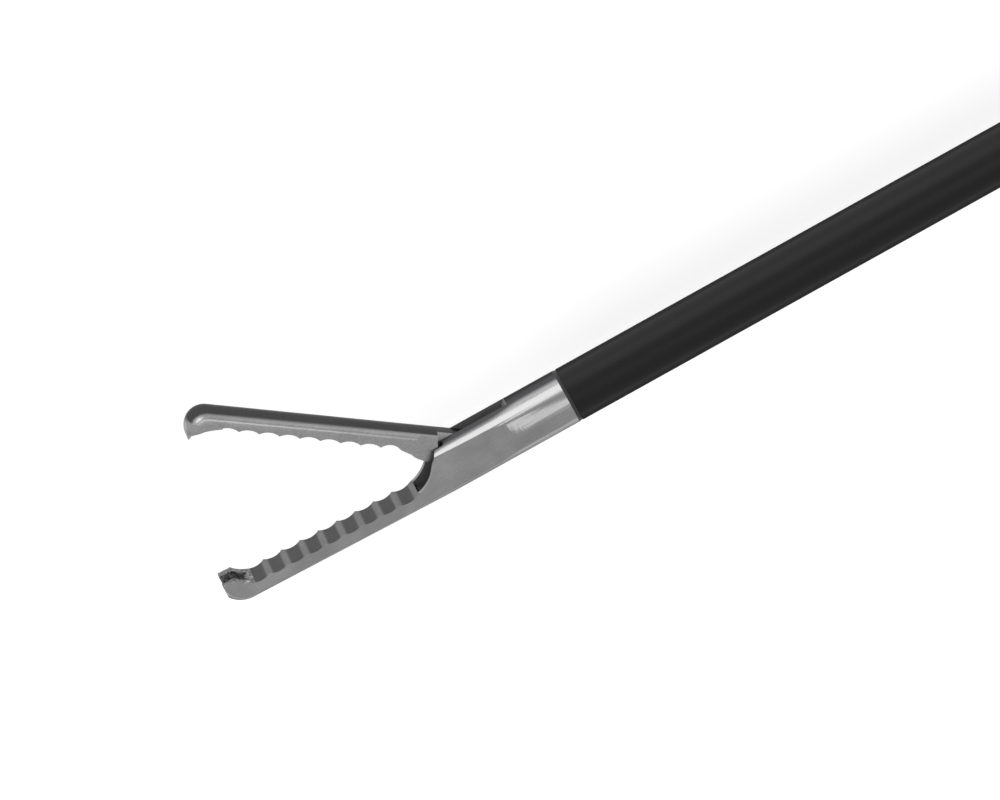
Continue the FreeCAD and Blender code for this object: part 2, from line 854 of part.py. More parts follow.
def lever_arm_plate(half, extra=0.0):
    """The lever's arm from its hub to the thumb ring."""
    hub_r_here = lever_hub_r + extra
    knee_r = lever_knee_r + extra
    upper = link(lever_pivot, lever_knee, hub_r_here, knee_r, half)
    foot = (thumb_centre[0] - 9.0, thumb_centre[1] + 13.0)
    lower = link(lever_knee, foot, knee_r, knee_r - 0.4, half)
    return joined([upper, lower])


def handle_cavity():
    """Room inside the body for the rod's end, the lever's head and the contact."""
    chamber = slab(body_outline(body_wall), body_half - body_wall)
    start = body_front + neck_length
    chamber = chamber.common(Part.makeBox(body_rear - start + 5, 60, 40, V(start, -30, -20)))
    return chamber


def handle_solid():
    whole = handle_outside()
    cavity = handle_cavity()
    for place in screw_places:
        cavity = cavity.cut(pin(screw_head_r + 1.2, place, body_half))
    cavity = cavity.cut(pin(lever_pin_r + 2.0, lever_pivot, body_half))
    whole = whole.cut(cavity)
    boss_gap = lever_half + 0.2
    whole = whole.cut(pin(lever_pin_r + 2.2, lever_pivot, boss_gap))
    whole = whole.cut(lever_swept(0.35))
    bore = bar(knob_tail_r + running, body_front - 2, body_front + neck_length + 1)
    groove = bar(collar_r + running, collar_front - running, collar_front + collar_width + running)
    seat = bar(knob_tail_r + 0.65, friction_x - 0.8, friction_x + 0.8)
    whole = whole.cut(bore).cut(groove).cut(seat)
    whole = whole.cut(pin(lever_pin_r, lever_pivot, 30))
    whole = whole.cut(connector_post(connector_collar_r, -2.2, 2.2))
    return whole


def connector_post(radius, start, end):
    """A cylinder on the connector's axis, from start to end along it."""
    a = math.radians(connector_tilt)
    heading = V(math.cos(a), math.sin(a), 0)
    base = V(connector_base[0], connector_base[1], 0)
    return Part.makeCylinder(radius, end - start, base + heading * start, heading)


screw_top = {0: ring_section_half, 1: ring_section_half, 2: body_half}


def screw_cutter(index, gap=0.0):
    x, y = screw_places[index]
    top = screw_top[index]
    under = top - screw_head_height
    head = Part.makeCylinder(screw_head_r + gap, screw_head_height + 2, V(x, y, under), V(0, 0, 1))
    shank = Part.makeCylinder(screw_r, under + top - screw_end, V(x, y, screw_end - top), V(0, 0, 1))
    return head.fuse(shank)


def handle_shell(upper, solid):
    room = Part.makeBox(300, 300, 40, V(-100, -200, 0 if upper else -40))
    shell = solid.common(room)
    for index in range(len(screw_places)):
        shell = shell.cut(screw_cutter(index, 0.05))
    return shell


def shell_screws():
    pieces = []
    for index, (x, y) in enumerate(screw_places):
        top = screw_top[index]
        under = top - screw_head_height
        head = Part.makeCylinder(screw_head_r, screw_head_height - 0.3, V(x, y, under), V(0, 0, 1))
        head = rounded(head, 0.4, lambda e: abs(e.CenterOfMass.z - top + 0.3) < 0.01 and e.Length > 5)
        shank = Part.makeCylinder(screw_r, under + top - screw_end, V(x, y, screw_end - top), V(0, 0, 1))
        screw = head.fuse(shank)
        for turn in (0, 90):
            blade = Part.makeBox(2.6, 0.6, 1.4, V(x - 1.3, y - 0.3, top - 1.3))
            blade.rotate(V(x, y, 0), V(0, 0, 1), turn + 20)
            screw = screw.cut(blade)
        pieces.append(screw)
    return Part.makeCompound(pieces)


yoke_half = ball_r + running + yoke_wall


def yoke_block():
    """The outside of the ball seat, upright on the lever's head while the lever is at mid travel."""
    corner = V(lever_pivot_x - yoke_half, yoke_low, -lever_half)
    return Part.makeBox(2 * yoke_half, yoke_high - yoke_low, 2 * lever_half, corner)


def lean(shape):
    """Turns a piece drawn at the lever's mid travel to the lever's rest."""
    shape.rotate(V(lever_pivot_x, -lever_arm_rise, 0), V(0, 0, 1), lever_travel / 2)
    return shape


def ball_seat():
    block = yoke_block()
    width = ball_r + running
    cavity = Part.makeCylinder(width, 6, V(lever_pivot_x, 0, 0), V(0, 1, 0))
    bowl = Part.makeSphere(width, V(lever_pivot_x, 0, 0))
    slit_corner = V(lever_pivot_x - yoke_half - 1, yoke_slit_floor, -yoke_slit_half)
    slit = Part.makeBox(yoke_half + 1, 6, 2 * yoke_slit_half, slit_corner)
    return lean(block.cut(cavity).cut(bowl).cut(slit))


def thumb_lever():
    hole = pin(thumb_bore_r, thumb_centre, 20)
    loop = pin(thumb_bore_r + thumb_wall, thumb_centre, ring_section_half).cut(hole)
    loop = rounded(loop, seam_edge_r, lambda e: abs(abs(e.CenterOfMass.z) - ring_section_half) < 0.01)
    arm = lever_arm_plate(lever_half)
    arm = rounded(arm, 1.2, lambda e: abs(abs(e.CenterOfMass.z) - lever_half) < 0.01)
    head_low = -lever_arm - 1.0
    head_corner = V(lever_pivot_x - yoke_half, head_low, -lever_half)
    head = lean(Part.makeBox(2 * yoke_half, yoke_low - head_low, 2 * lever_half, head_corner))
    arm = arm.cut(lean(yoke_block()))
    whole = joined([arm.cut(hole), loop, head])
    return whole.cut(pin(bush_r, lever_pivot, 20))


def lever_bush():
    return pin(bush_r, lever_pivot, lever_half).cut(pin(lever_pin_r + 0.03, lever_pivot, 20))


def lever_pivot_pin():
    return pin(lever_pin_r, lever_pivot, body_half - 0.4)


def connector_pin():
    end = connector_collar_rise + connector_length
    post = connector_post(connector_r, connector_collar_rise, end)
    post = rounded(post, 0.6, lambda e: e.Length > 5 and e.CenterOfMass.y > connector_base[1] + 10)
    start = connector_collar_rise + 12.0
    waist = connector_post(connector_r + 1, start, start + 1.2)
    waist = waist.cut(connector_post(connector_r - 0.35, start - 0.5, start + 1.7))
    root = connector_post(connector_root_r, -5.0, connector_collar_rise + 0.5)
    return joined([post.cut(waist), root])


def connector_collar():
    rim = connector_collar_rise - 0.8
    outer = connector_post(connector_collar_r, -2.2, rim)
    flange = connector_post(connector_collar_r - 1.0, rim, connector_collar_rise)
    return joined([outer, flange]).cut(connector_post(connector_root_r, -10, 10))


def contact_spring():
    thick = 0.3
    a = math.radians(connector_tilt)
    end_x = connector_base[0] - 5.0 * math.cos(a)
    end_y = connector_base[1] - 5.0 * math.sin(a)
    low = rod_r + 0.05
    strip = face(
        (ball_x - 9.5, low),
        (ball_x - 6.4, low),
        ((ball_x - 5.0, 1.8), (ball_x - 3.6, 4.4)),
        (end_x - 1.2, end_y - 0.3),
        (end_x - 0.25, end_y),
        (end_x - 0.45, end_y + 0.25),
        (end_x - 1.4, end_y),
        (ball_x - 3.9, 4.7),
        ((ball_x - 5.3, 2.1), (ball_x - 6.6, low + thick)),
        (ball_x - 9.5, low + thick),
    )
    return slab(strip, 1.2)


def write(name, shape):
    shape.exportStep("parts/" + name + ".step")


solid = handle_solid()
pieces = {
    "fixed_jaw_clevis": fixed_jaw_clevis(),
    "moving_jaw": moving_jaw(),
    "jaw_pivot_pin": jaw_pivot_pin(),
    "rod_fork": rod_fork(),
    "drive_pin": drive_pin(),
    "drive_rod": drive_rod(),
    "rod_ball_end": rod_ball_end(),
    "outer_tube": outer_tube(),
    "insulation_sleeve": insulation_sleeve(),
    "flush_hub": flush_hub(),
    "flush_port_cap": flush_port_cap(),
    "hub_o_rings": hub_o_rings(),
    "rotation_knob": rotation_knob(),
    "knob_grub_screws": knob_grub_screws(),
    "shaft_collar": shaft_collar(),
    "friction_ring": friction_ring(),
    "seal_cap": seal_cap(),
    "rod_seal": rod_seal(),
    "handle_shell_left": handle_shell(True, solid),
    "handle_shell_right": handle_shell(False, solid),
    "shell_screws": shell_screws(),
    "thumb_lever": thumb_lever(),
    "ball_seat": ball_seat(),
    "lever_bush": lever_bush(),
    "lever_pivot_pin": lever_pivot_pin(),
    "connector_pin": connector_pin(),
    "connector_collar": connector_collar(),
    "contact_spring": contact_spring(),
}
for name, piece in pieces.items():
    write(name, piece)
    print(name, len(piece.Solids), piece.isValid(), round(piece.Volume, 2))
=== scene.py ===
import json
import math

import bpy
from mathutils import Matrix, Vector


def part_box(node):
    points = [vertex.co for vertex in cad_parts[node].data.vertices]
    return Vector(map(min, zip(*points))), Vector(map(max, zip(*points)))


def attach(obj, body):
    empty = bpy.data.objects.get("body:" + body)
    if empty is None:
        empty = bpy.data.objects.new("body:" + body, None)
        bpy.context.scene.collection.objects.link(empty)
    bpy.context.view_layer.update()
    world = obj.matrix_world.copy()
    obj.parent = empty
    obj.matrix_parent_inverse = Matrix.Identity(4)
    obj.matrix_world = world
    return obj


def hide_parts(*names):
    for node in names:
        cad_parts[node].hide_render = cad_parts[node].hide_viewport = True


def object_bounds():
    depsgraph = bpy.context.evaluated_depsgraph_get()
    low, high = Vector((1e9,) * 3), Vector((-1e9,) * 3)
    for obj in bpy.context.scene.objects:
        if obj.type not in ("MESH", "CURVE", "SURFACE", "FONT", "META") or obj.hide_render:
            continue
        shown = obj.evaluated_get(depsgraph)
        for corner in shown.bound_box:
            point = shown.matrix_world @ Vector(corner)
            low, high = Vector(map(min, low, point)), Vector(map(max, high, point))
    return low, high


bl_info = {
    "name": "Laparoscopic Grasper",
    "version": (1, 0, 0),
    "blender": (4, 5, 0),
    "location": "View3D > Sidebar > Grasper",
    "description": "Finishes and studio for a 5 mm grasper with a ring handle",
    "category": "Add Mesh",
}

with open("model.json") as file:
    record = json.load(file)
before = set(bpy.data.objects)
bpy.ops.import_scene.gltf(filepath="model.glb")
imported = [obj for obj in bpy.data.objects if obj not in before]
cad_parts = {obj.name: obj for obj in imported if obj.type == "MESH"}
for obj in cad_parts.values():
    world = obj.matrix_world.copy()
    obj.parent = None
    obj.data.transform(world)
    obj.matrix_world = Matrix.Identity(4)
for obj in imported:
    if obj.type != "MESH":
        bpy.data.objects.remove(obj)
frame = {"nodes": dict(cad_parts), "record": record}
cad_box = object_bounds()

mm = 0.001
sleeve_low, sleeve_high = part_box("insulation_sleeve")
tip_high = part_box("fixed_jaw_clevis")[1]


def length(name, millimetres, description):
    """A length for the panel, from its size in millimetres."""
    return bpy.props.FloatProperty(
        name=name, description=description, default=millimetres * mm, min=0, precision=5,
        subtype="DISTANCE", unit="LENGTH",
    )


def shade(name, value, description):
    """A colour for the panel."""
    return bpy.props.FloatVectorProperty(
        name=name, description=description, default=value, size=3, min=0, max=1, subtype="COLOR",
    )


def turn(name, degrees, description):
    """An angle for the panel, from its size in degrees."""
    return bpy.props.FloatProperty(
        name=name, description=description, default=math.radians(degrees), subtype="ANGLE", unit="ROTATION",
    )


class GrasperSizes(bpy.types.PropertyGroup):
    tip_edge: length("Tip edge", 0.05, "Width of the broken edges on the jaws and the clevis")
    fine_edge: length("Fine edge", 0.03, "Width of the broken edges on the fork, its pin and the leaf")
    small_edge: length("Small edge", 0.06, "Width of the broken edges on tubes and small turned parts")
    screw_edge: length("Screw edge", 0.08, "Width of the broken edges on the shell screws and the bush")
    pin_edge: length("Pin edge", 0.15, "Width of the broken edges on the lever's pin")
    metal_edge: length("Metal edge", 0.12, "Width of the broken edges on the larger turned parts")
    moulded_edge: length("Moulded edge", 0.22, "Width of the soft edges on moulded plastic")
    tube_wall: length("Tube wall", 0.4, "Thickness of the steel tube under the insulation")
    grip_start: length("Grip start", 15.76, "From the insulation to the fixed jaw's first ridge")
    grip_pitch: length("Grip pitch", 1.796, "From ridge to ridge on the fixed jaw")
    grip_length: length("Grip length", 14.8, "From the first ridge to the prongs")
    round_steps: bpy.props.IntProperty(
        name="Round steps", description="Faces round a long smooth tube", default=96, min=24, max=256,
    )


class GrasperColours(bpy.types.PropertyGroup):
    ground_steel: shade("Ground steel", (0.50, 0.50, 0.50), "Flat ground sides of the moving jaw")
    clevis_steel: shade("Clevis steel", (0.43, 0.43, 0.435), "The clevis and the fixed jaw's flat sides")
    # Painted light and shade: lighter than the grooves as painted light on the grip's ridges, darker than the
    # clevis as painted shade in the slot, and the prongs' dark base
    ridge_light_slot_shade: shade("Ridge steel", (0.21, 0.21, 0.21), "Worn ridges of the grip, the slot and the prongs")
    # Painted shade: a dark colour for the grip's grooves and the clevis's stripe, not a blasted finish
    painted_shade_steel: shade("Blasted steel", (0.085, 0.085, 0.088), "Grooves of the grip and the slot's stripe")
    # Painted shade: a dark colour on the moving jaw's top, standing in for dark reflections; the jaw's
    # roughness is the same there
    painted_back_shade: shade("Back steel", (0.06, 0.06, 0.062), "Matt back of the moving jaw")
    polished_steel: shade("Polished steel", (0.66, 0.66, 0.65), "Bright turned parts")
    insulation: shade("Insulation", (0.0135, 0.0137, 0.0142), "Charcoal insulation on the shaft")
    moulded_black: shade("Moulded black", (0.022, 0.0225, 0.024), "Black plastic of handle, lever and knob")
    rubber: shade("Rubber", (0.035, 0.036, 0.039), "Seals and the port's cap")
    bronze: shade("Bronze", (0.50, 0.34, 0.18), "The lever's bush")
    plating: shade("Plating", (0.70, 0.64, 0.50), "Plated connector pin and contact leaf")
    floor: shade("Floor", (0.86, 0.86, 0.86), "The pale floor")


class GrasperStudio(bpy.types.PropertyGroup):
    photo_width: bpy.props.IntProperty(
        name="Picture width", description="Pixels across the picture", default=1000,
    )
    photo_height: bpy.props.IntProperty(
        name="Picture height", description="Pixels down the picture", default=800,
    )
    pixels_per_mm: bpy.props.FloatProperty(
        name="Scale", description="Pixels for one millimetre", default=11.55,
    )
    sleeve_end_x: bpy.props.FloatProperty(
        name="Sleeve end across", description="Where the axis leaves the sleeve, in pixels", default=569.0,
    )
    sleeve_end_y: bpy.props.FloatProperty(
        name="Sleeve end down", description="Where the axis leaves the sleeve, in pixels", default=394.5,
    )
    shaft_heading: turn("Shaft heading", 29.07, "The shaft's rise across the picture")
    camera_lean: turn("Camera lean", 23.5, "How far the camera leans to the jaw's opening side")
    lens: bpy.props.FloatProperty(
        name="Lens", description="Focal length in millimetres", default=250.0, min=1,
    )
    world_level: bpy.props.FloatProperty(
        name="Room light", description="Strength of the even light", default=0.5, min=0,
    )
    floor_lift: bpy.props.FloatProperty(
        name="Floor lift", description="How much brighter the floor looks than it is lit", default=0.5, min=0,
    )


def sizes():
    return bpy.context.scene.grasper_sizes


def colours():
    return bpy.context.scene.grasper_colours


def studio():
    return bpy.context.scene.grasper_studio


def only(obj):
    """Selects one object alone and makes it active."""
    bpy.ops.object.select_all(action="DESELECT")
    obj.select_set(True)
    bpy.context.view_layer.objects.active = obj


def apply_modifier(obj, kind, **values):
    """Adds a modifier with these values and applies it."""
    only(obj)
    modifier = obj.modifiers.new(kind.title(), kind)
    for name, value in values.items():
        setattr(modifier, name, value)
    bpy.ops.object.modifier_apply(modifier=modifier.name)


def settle(obj):
    """Moves the object's place and turn into its mesh."""
    only(obj)
    bpy.ops.object.transform_apply(location=True, rotation=True, scale=True)


# Nodes, groups and masks


def feed(tree, node, values):
    """Links sockets to a node's inputs, and sets the others to plain values."""
    for name, value in values.items():
        if isinstance(value, bpy.types.NodeSocket):
            tree.links.new(value, node.inputs[name])
        else:
            node.inputs[name].default_value = value


def math_node(tree, operation, *values):
    """The result of a math node whose inputs are sockets or plain numbers."""
    node = tree.nodes.new("ShaderNodeMath")
    node.operation = operation
    for socket, value in zip(node.inputs, values):
        if isinstance(value, (int, float)):
            socket.default_value = value
        else:
            tree.links.new(value, socket)
    return node.outputs[0]


def ramp(tree, value, low, high, at_low=0.0, at_high=1.0, kind="LINEAR"):
    """A change from one level to another between two values."""
    node = tree.nodes.new("ShaderNodeMapRange")
    node.interpolation_type = kind
    feed(tree, node, {"Value": value, "From Min": low, "From Max": high, "To Min": at_low, "To Max": at_high})
    return node.outputs["Result"]


def soft_step(tree, value, low, high, at_low=0.0, at_high=1.0):
    """A smooth change from one level to another between two values."""
    return ramp(tree, value, low, high, at_low, at_high, "SMOOTHSTEP")


def about(tree, value, middle, half):
    """Spreads a value from 0 to 1 evenly about a middle."""
    return ramp(tree, value, 0.0, 1.0, middle - half, middle + half)


def mix(tree, share, first, second):
    """A blend of two values with this share of the second."""
    node = tree.nodes.new("ShaderNodeMix")
    feed(tree, node, {"Factor": share, "A": first, "B": second})
    return node.outputs["Result"]


def noise(tree, vector, scale, values):
    node = tree.nodes.new("ShaderNodeTexNoise")
    feed(tree, node, {"Vector": vector, "Scale": scale, **values})
    return node.outputs["Fac"]


def coordinates(tree, kind):
    """The three numbers of the object's own coordinates, or of its faces' directions."""
    place = tree.nodes.new("ShaderNodeTexCoord")
    split = tree.nodes.new("ShaderNodeSeparateXYZ")
    tree.links.new(place.outputs[kind], split.inputs[0])
    return split.outputs


def new_group(name, inputs, outputs):
    """A shader group with its sockets: the group, its start's outputs and its end's inputs."""
    group = bpy.data.node_groups.new(name, "ShaderNodeTree")
    for label, kind, default in inputs:
        socket = group.interface.new_socket(name=label, in_out="INPUT", socket_type=kind)
        if default is not None:
            socket.default_value = default
    for label in outputs:
        group.interface.new_socket(name=label, in_out="OUTPUT", socket_type="NodeSocketFloat")
    start = group.nodes.new("NodeGroupInput")
    end = group.nodes.new("NodeGroupOutput")
    return group, start.outputs, end.inputs


def make_grain_group():
    """Fine even grain: a value for colour and roughness, and a height for the bump."""
    group, start, end = new_group(
        "Fine Grain",
        [("Vector", "NodeSocketVector", None), ("Scale", "NodeSocketFloat", 4000.0),
         ("Contrast", "NodeSocketFloat", 1.0)],
        ["Value", "Height"],
    )
    middle = 0.5
    pit_share = 0.5
    fine = noise(group, start["Vector"], start["Scale"], {"Detail": 4.0, "Roughness": 0.65})
    pits = group.nodes.new("ShaderNodeTexVoronoi")
    feed(group, pits, {"Vector": start["Vector"], "Scale": start["Scale"]})
    centred = math_node(group, "SUBTRACT", fine, middle)
    spread = math_node(group, "MULTIPLY", centred, start["Contrast"])
    height = math_node(group, "MULTIPLY_ADD", pits.outputs["Distance"], pit_share, fine)
    group.links.new(math_node(group, "ADD", spread, middle), end["Value"])
    group.links.new(height, end["Height"])
    return group


def make_lines_group():
    """Fine parallel lines, as left by grinding, drawing or turning."""
    group, start, end = new_group(
        "Tool Lines",
        [("Vector", "NodeSocketVector", None), ("Stretch", "NodeSocketVector", (200.0, 6000.0, 6000.0))],
        ["Value", "Height"],
    )
    stretch = group.nodes.new("ShaderNodeVectorMath")
    stretch.operation = "MULTIPLY"
    group.links.new(start["Vector"], stretch.inputs[0])
    group.links.new(start["Stretch"], stretch.inputs[1])
    lines = noise(group, stretch.outputs[0], 1.0, {"Detail": 3.0, "Roughness": 0.6})
    group.links.new(lines, end["Value"])
    group.links.new(lines, end["Height"])
    return group


def make_handling_group():
    """Broad cloudy traces of handling and cleaning."""
    group, start, end = new_group(
        "Handling",
        [("Vector", "NodeSocketVector", None), ("Scale", "NodeSocketFloat", 120.0)],
        ["Amount"],
    )
    cloud = noise(group, start["Vector"], start["Scale"], {"Detail": 3.0, "Distortion": 0.6})
    group.links.new(ramp(group, cloud, 0.3, 0.7), end["Amount"])
    return group


# How far a face of the moving jaw looks sideways where its painted shade on top ends, how far it looks
# forwards on the nose, where a painted reflection lightens it, and the share of painted shade left on the
# nose
back_rounding = (0.44, 0.64)
nose_facing = (-0.82, -0.48)
nose_shade_share = 0.1

# A stripe of painted shade on the clevis: its half width, its height over the axis, and how it widens at the
# slot
stripe_half = (0.8 * mm, 1.3 * mm)
stripe_height = (0.6 * mm, 1.6 * mm)
stripe_widening = 0.32 * mm
stripe_narrows = (7 * mm, 4 * mm)

# The grip's ridges: half the width of a band of painted light on each, and how far the last one fades before
# the prongs
ridge_half = (0.16 * mm, 0.42 * mm)
ridge_fade = 0.3 * mm

# Painted glints on the prongs
speck_scale = 3600.0
speck_levels = (0.60, 0.70)


def painted_back_shade_mask(tree):
    """Painted shade on the moving jaw's top, standing in for the dark surroundings it mirrors, from where the
    jaw's side rounds over; a painted reflection thins it on the nose.
    """
    facing = coordinates(tree, "Normal")
    side = math_node(tree, "ABSOLUTE", facing["Z"])
    top_shade = soft_step(tree, side, *back_rounding, 1.0, 0.0)
    nose = soft_step(tree, facing["X"], *nose_facing, nose_shade_share, 1.0)
    return math_node(tree, "MULTIPLY", top_shade, nose)


def painted_slot_shade_mask(tree):
    """A stripe of painted shade along the side of the clevis where the slot is cut, wider beside the slot."""
    place = coordinates(tree, "Object")
    start, end = (tip_high.x - distance for distance in stripe_narrows)
    widening = soft_step(tree, place["X"], start, end, stripe_widening, 0.0)
    height = math_node(tree, "SUBTRACT", math_node(tree, "ABSOLUTE", place["Z"]), widening)
    stripe = soft_step(tree, height, *stripe_half, 1.0, 0.0)
    side = soft_step(tree, place["Y"], *stripe_height)
    return math_node(tree, "MULTIPLY", stripe, side)


def painted_glint_mask(tree):
    """Small bright painted glints on the prongs."""
    place = tree.nodes.new("ShaderNodeTexCoord").outputs["Object"]
    return soft_step(tree, noise(tree, place, speck_scale, {"Detail": 1.0}), *speck_levels)


def painted_ridge_light_mask(tree):
    """Bands of painted light on the grip's ridges, one for each pitch, fading out before the prongs."""
    place = coordinates(tree, "Object")
    from_first = math_node(tree, "ADD", place["X"], sizes().grip_start - tip_high.x)
    to_ridge = math_node(tree, "PINGPONG", from_first, sizes().grip_pitch / 2)
    band = soft_step(tree, to_ridge, *ridge_half, 1.0, 0.0)
    grip_length = sizes().grip_length
    reach = soft_step(tree, from_first, -grip_length - ridge_fade, -grip_length)
    return math_node(tree, "MULTIPLY", band, reach)


# Materials

groups = {}
materials = {}

# How far towards its silhouette a plastic starts to look duller
rim_facing = (0.35, 0.7)


def texture(tree, group, place, values):
    """A node group at a place, with its values: its outputs."""
    node = tree.nodes.new("ShaderNodeGroup")
    node.node_tree = groups[group]
    feed(tree, node, {"Vector": place, **values})
    return node.outputs


def two_colours(tree, share, first, second):
    """A blend of two colours with this share of the second."""
    node = tree.nodes.new("ShaderNodeMix")
    node.data_type = "RGBA"
    plain, other = [socket for socket in node.inputs if socket.type == "RGBA"]
    plain.default_value = (*first, 1.0)
    other.default_value = (*second, 1.0)
    tree.links.new(share, node.inputs["Factor"])
    return next(socket for socket in node.outputs if socket.type == "RGBA")


def surface(name, colour, metal, rough, grain=1.0, grain_scale=6000.0, lines=0.0,
            stretch=(300.0, 9000.0, 9000.0), contrast=1.0, rough_spread=0.1, tone_spread=0.1, cloud_tone=0.0,
            bump=0.1, depth=0.02 * mm, clouds=150.0, rim=1.0, gloss=0.5, rim_rough=0.0,
            second=None, mask=None):
    """A material whose colour, roughness and bump come from grain, tool lines and handling.

    `second` is a second colour where `mask` is 1, for a second finish, painted shade or painted light. `rim`
    tints a metal's reflection darker where it is seen edge on, a painted shade at its silhouette, and
    `rim_rough` dulls a plastic seen edge on.
    """
    material = bpy.data.materials.new(name)
    material.use_nodes = True
    material.diffuse_color = (*colour, 1.0)
    tree = material.node_tree
    shader = tree.nodes["Principled BSDF"]
    # Painted shade: the edge tint darkens what the metal mirrors where it is seen edge on
    painted_rim_shade = (rim, rim, rim, 1.0)
    feed(tree, shader, {"Metallic": metal, "Specular Tint": painted_rim_shade, "Specular IOR Level": gloss})

    place = tree.nodes.new("ShaderNodeTexCoord").outputs["Object"]
    fine = texture(tree, "grain", place, {"Scale": grain_scale, "Contrast": contrast})
    drawn = texture(tree, "lines", place, {"Stretch": stretch})
    handled = texture(tree, "handling", place, {"Scale": clouds})["Amount"]
    line_share = lines / (grain + lines)
    value = mix(tree, line_share, fine["Value"], drawn["Value"])
    height = mix(tree, line_share, fine["Height"], drawn["Height"])

    tone = about(tree, value, 1.0, tone_spread)
    cloud = about(tree, handled, 1.0, cloud_tone)
    tint = tree.nodes.new("ShaderNodeVectorMath")
    tint.operation = "SCALE"
    tint.inputs[0].default_value = colour
    if mask:
        tree.links.new(two_colours(tree, mask(tree), colour, second), tint.inputs[0])
    tree.links.new(math_node(tree, "MULTIPLY", tone, cloud), tint.inputs["Scale"])
    tree.links.new(tint.outputs[0], shader.inputs["Base Color"])

    even_share = 0.5
    roughness = about(tree, mix(tree, even_share, value, handled), rough, rough_spread)
    if rim_rough:
        facing = tree.nodes.new("ShaderNodeLayerWeight").outputs["Facing"]
        roughness = math_node(tree, "ADD", roughness, soft_step(tree, facing, *rim_facing, 0.0, rim_rough))
    tree.links.new(roughness, shader.inputs["Roughness"])

    relief = tree.nodes.new("ShaderNodeBump")
    feed(tree, relief, {"Strength": bump, "Distance": depth, "Height": height})
    tree.links.new(relief.outputs["Normal"], shader.inputs["Normal"])
    materials[name] = material


def make_materials():
    groups["grain"] = make_grain_group()
    groups["lines"] = make_lines_group()
    groups["handling"] = make_handling_group()
    c = colours()
    along = (900.0, 9000.0, 9000.0)
    # The moving jaw: ground steel sides, with painted shade on its top and a painted reflection on its nose
    surface("jaw_steel", c.ground_steel, 1.0, 0.33, grain=2, grain_scale=6500.0, contrast=1.8, lines=1,
            stretch=along, rough_spread=0.08, tone_spread=0.35, cloud_tone=0.06, bump=0.4, clouds=350.0,
            rim=0.6, second=c.painted_back_shade, mask=painted_back_shade_mask)
    surface("clevis_steel", c.clevis_steel, 1.0, 0.26, grain=1, lines=2, stretch=along,
            rough_spread=0.06, tone_spread=0.2, cloud_tone=0.08, bump=0.2, clouds=260.0, rim=0.2)
    # The ferrule: painted shade in a stripe along the slot's side, standing in for dark reflections
    surface("ferrule_steel", c.clevis_steel, 1.0, 0.22, grain=1, lines=2, stretch=along,
            rough_spread=0.05, tone_spread=0.16, cloud_tone=0.06, bump=0.2, rim=0.35,
            second=c.painted_shade_steel, mask=painted_slot_shade_mask)
    # The slot: a darker colour as painted shade inside it
    surface("slot_steel", c.ridge_light_slot_shade, 0.5, 0.60, grain=1, contrast=1.5,
            rough_spread=0.10, tone_spread=0.3, bump=0.4, rim=0.6)
    # The grip: painted shade over its grooves, with bands of painted light on its ridges
    surface("grip_steel", c.painted_shade_steel, 1.0, 0.40, grain=1, lines=1, stretch=(5000.0, 5000.0, 700.0),
            grain_scale=6500.0, contrast=1.6, rough_spread=0.10, tone_spread=0.5, bump=0.6, rim=0.7,
            second=c.ridge_light_slot_shade, mask=painted_ridge_light_mask)
    # The prongs: painted glints of the clevis colour on a dark base
    surface("prong_steel", c.ridge_light_slot_shade, 1.0, 0.34, grain=1, grain_scale=4500.0, contrast=4.0,
            rough_spread=0.12, tone_spread=0.7, bump=0.9, depth=0.04 * mm, rim=0.6,
            second=c.clevis_steel, mask=painted_glint_mask)
    surface("polished_steel", c.polished_steel, 1.0, 0.20, grain=1, lines=1, stretch=(9000.0, 1500.0, 1500.0),
            rough_spread=0.05, tone_spread=0.06, bump=0.08)
    surface("insulation", c.insulation, 0.0, 0.40, grain=2, lines=1, stretch=(150.0, 6000.0, 6000.0),
            grain_scale=5000.0, rough_spread=0.05, tone_spread=0.15, bump=0.12, gloss=0.22, rim_rough=0.55)
    surface("moulded_black", c.moulded_black, 0.0, 0.44, grain=1, grain_scale=3200.0,
            rough_spread=0.06, tone_spread=0.2, bump=0.35, depth=0.04 * mm)
    surface("knob_black", c.moulded_black, 0.0, 0.36, grain=1, grain_scale=4200.0,
            rough_spread=0.06, tone_spread=0.15, bump=0.2, depth=0.03 * mm)
    surface("seal_rubber", c.rubber, 0.0, 0.62, grain=1, grain_scale=5200.0,
            rough_spread=0.06, tone_spread=0.2, bump=0.2)
    surface("cap_silicone", c.rubber, 0.0, 0.52, grain=1, grain_scale=5200.0,
            rough_spread=0.07, tone_spread=0.15, bump=0.15)
    surface("bush_bronze", c.bronze, 1.0, 0.40, grain=1, grain_scale=5200.0,
            rough_spread=0.08, tone_spread=0.25, bump=0.25)
    surface("plating", c.plating, 1.0, 0.24, grain=1, lines=1, stretch=(2500.0, 2500.0, 6000.0),
            rough_spread=0.06, tone_spread=0.08, bump=0.08)
    surface("collar_plastic", c.rubber, 0.0, 0.40, grain=1, grain_scale=4200.0,
            rough_spread=0.05, tone_spread=0.12, bump=0.15)


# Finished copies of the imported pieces

merge_gap = 0.0005 * mm
flat_angle = math.radians(0.3)
edge_steps = 2
square_on = 0.985

# Faces are shaded as one up to an angle this many degrees over the one that gets a broken edge
smooth_margin = 7.0
tube_sharp = math.radians(40)
tube_smooth = math.radians(35)


def body_of(node):
    for body, members in frame["record"]["behaviour"]["bodies"].items():
        if node in members:
            return body
    raise ValueError(node)


